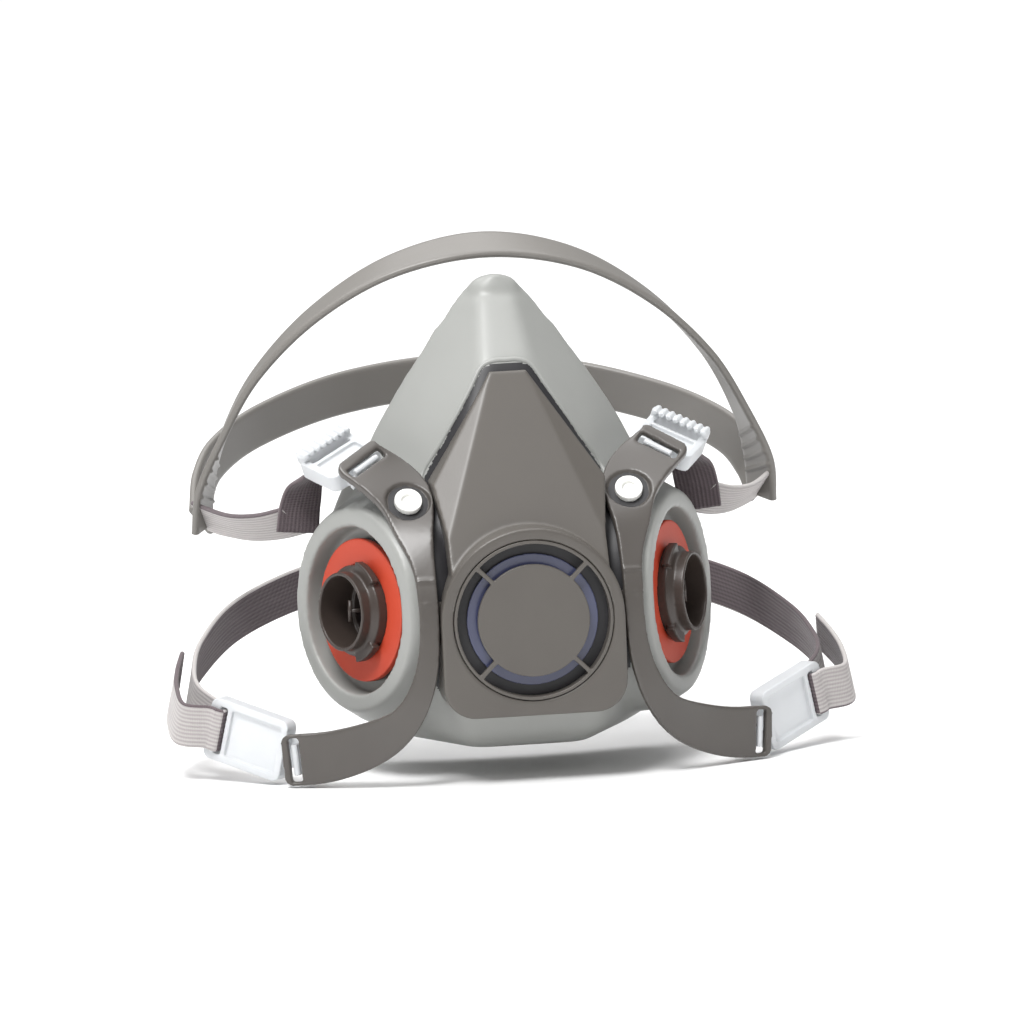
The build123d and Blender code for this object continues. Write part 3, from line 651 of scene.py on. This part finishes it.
# ---------------------------------------------------------------- bands and straps
CROWN = (
    ((81.0, 34.0, -4.0), (0.52, -0.84, -0.15), 12.0),
    ((80.0, 31.0, 8.0), (0.38, -0.92, 0.05), 14.0),
    ((75.0, 28.0, 22.0), (0.14, -0.98, 0.10), 13.0),
    ((65.0, 25.0, 40.0), (0.06, -0.99, 0.02), 12.5),
    ((48.0, 20.0, 57.5), (0.05, -0.98, -0.15), 12.5),
    ((26.0, 15.0, 70.5), (0.05, -0.94, -0.32), 12.5),
    ((0.0, 13.0, 75.5), (0.0, -0.92, -0.39), 13.0),
)
BACK = (
    ((81.0, 35.0, -2.0), (0.50, -0.30, 0.80), 12.0),
    ((79.0, 45.0, 6.0), (0.30, -0.20, 0.93), 13.0),
    ((73.0, 58.0, 13.0), (0.10, -0.20, 0.97), 13.0),
    ((58.0, 74.0, 19.5), (0.0, -0.20, 0.98), 13.0),
    ((32.0, 88.0, 25.5), (0.0, -0.18, 0.98), 13.0),
    ((0.0, 93.0, 28.0), (0.0, -0.15, 0.98), 13.0),
)
CRADLE_THICKNESS = 2.2
CROWN_RIDGES = (9.0, 13.0, 17.0, 21.0)  # each ridge's distance from the crown band's end
CRADLE_STEPS = 44

for label, rows, ridges in (("crown_band", CROWN, CROWN_RIDGES), ("back_band", BACK, ())):
    whole = mirrored(rows, -1) + mirrored(rows[:-1], 1)[::-1]
    mesh = sweep(label, whole, flat_section(CRADLE_THICKNESS, ridges=ridges), CRADLE_STEPS)
    piece = show(link(label, mesh), "head_harness", "cradle", "cradle_elastomer")
    mesh.materials.append(M["cradle"])  # for the inner side, which a section marks as face 1
    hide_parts("head_cradle")

# a lock's frame and the webbing in it, in mm, as in the CAD
HOOK_DROP = 6.4            # the frame's underside is this far below the pin
BUCKLE_THICKNESS = 5.0
REAR_BAR = 3.2
BUCKLE_SLOT = 2.4
STRAP_THICKNESS = 1.3
STRAP_GAP = 0.25           # webbing stands this far off the frame that it wraps
STRAP_WIDTH = 12.5
UNDER = -HOOK_DROP - STRAP_GAP - STRAP_THICKNESS / 2
OVER = BUCKLE_THICKNESS - HOOK_DROP + STRAP_GAP + STRAP_THICKNESS / 2

# the webbing as it is shown
TURN_CORNER = 0.35         # the turn's corner points sit this far inside its square corners
TURN_RISE = 1.3            # the next points are this far up the slot
TURN_LEAD = 1.8            # or this far along the bar's face
BUCKLE_END = 0.3           # the turn starts and ends this far inside the lock's rear edge
WEBBING_THICKNESS = 1.25
WEBBING_RIBS = 9
RIB_HEIGHT = 0.07
UPPER_ROUTE = (
    ((54.6, -2.4, 13.0), (0.86, -0.36, -0.30), 12.5),
    ((56.8, -0.2, 6.0), (0.97, -0.22, -0.08), 12.5),
    ((57.8, 0.8, -2.0), (0.99, -0.10, 0.0), 12.5),
)
UPPER_RETURN = (
    ((58.0, 0.6, 1.6), (0.63, -0.42, 0.65), 12.5),
    ((65.0, 9.0, -1.0), (0.63, -0.42, 0.65), 12.5),
    ((72.0, 18.0, -2.0), (0.60, -0.42, 0.68), 12.5),
    ((78.5, 28.5, -1.1), (0.52, -0.40, 0.75), 12.5),
    ((81.3, 33.4, -0.3), (0.48, -0.40, 0.78), 12.0),
)
NECK_ROUTE = (
    ((90.0, -6.5, -48.5), (-0.20, -0.20, 0.96), 12.5),
    ((89.5, 4.0, -44.0), (-0.15, -0.28, 0.95), 12.5),
    ((84.5, 17.0, -38.5), (0.0, -0.30, 0.95), 12.5),
    ((73.0, 34.0, -31.5), (0.10, -0.25, 0.96), 12.5),
    ((55.0, 48.0, -26.0), (0.10, -0.20, 0.97), 12.5),
    ((34.0, 57.0, -22.5), (0.05, -0.10, 0.99), 12.5),
    ((18.0, 60.5, -21.3), (0.0, 0.0, 1.0), 12.5),
    ((12.0, 60.9, -21.1), (0.0, 0.0, 1.0), 12.5),
)
NECK_TAIL = (
    ((95.6, -18.0, -51.8), (-0.20, -0.17, 0.96), 12.5),
    ((96.5, -9.0, -48.3), (-0.20, -0.20, 0.96), 12.5),
    ((95.0, 0.0, -44.5), (-0.18, -0.24, 0.95), 12.5),
    ((92.0, 9.0, -40.5), (-0.15, -0.28, 0.95), 12.5),
)


def buckle_turn(side, which):
    """The webbing's way round the rear bar: in under it, up through the slot and out over it."""
    place = body_plane(side, which)
    reach = BODY[which][2]
    middle = reach - REAR_BAR - BUCKLE_SLOT / 2
    across = place.to_3x3() @ Vector((0, 1, 0))
    if (across.z < 0) == (which == "lower"):
        across = -across
    mid = (UNDER + OVER) / 2
    spots = [(reach - BUCKLE_END, UNDER), (middle + TURN_LEAD, UNDER),
             (middle + TURN_CORNER, UNDER + TURN_CORNER), (middle, UNDER + TURN_RISE), (middle, mid)]
    if which == "lower":
        spots += [(middle, OVER - TURN_RISE), (middle + TURN_CORNER, OVER - TURN_CORNER),
                  (middle + TURN_LEAD, OVER), (reach - BUCKLE_END, OVER)]
    return [(place @ Vector((x, 0, z)), across, STRAP_WIDTH) for x, z in spots]


def same_way(rows):
    """Keeps each row's width pointing as the row before it does."""
    fixed = []
    for point, way, width in rows:
        if fixed and way.dot(fixed[-1][1]) < 0:
            way = -way
        fixed.append((point, way, width))
    return fixed


def strap(name, rows, body, node, faces=("web_out", "web_in")):
    section = flat_section(WEBBING_THICKNESS, ribs=WEBBING_RIBS, rib_height=RIB_HEIGHT)
    mesh = sweep(name, same_way(rows), section, 10, two_faced=True)
    piece = show(link(name, mesh), body, faces[0], "webbing", node)
    mesh.materials.append(M[faces[1]])
    return piece


for side, name in ((-1, "left"), (1, "right")):
    upper_rows = mirrored(UPPER_ROUTE, side)[::-1] + buckle_turn(side, "upper")
    neck_rows = mirrored(NECK_ROUTE, side)[::-1] + buckle_turn(side, "lower") + mirrored(NECK_TAIL, side)
    strap(f"{name}_upper_webbing", upper_rows, "head_harness", f"{name}_upper_strap", ("web_in", "web_in"))
    strap(f"{name}_upper_return", mirrored(UPPER_RETURN, side), "head_harness", f"{name}_upper_strap_end")
    strap(f"{name}_neck_webbing", neck_rows, f"{name}_neck_side", f"{name}_neck_strap")
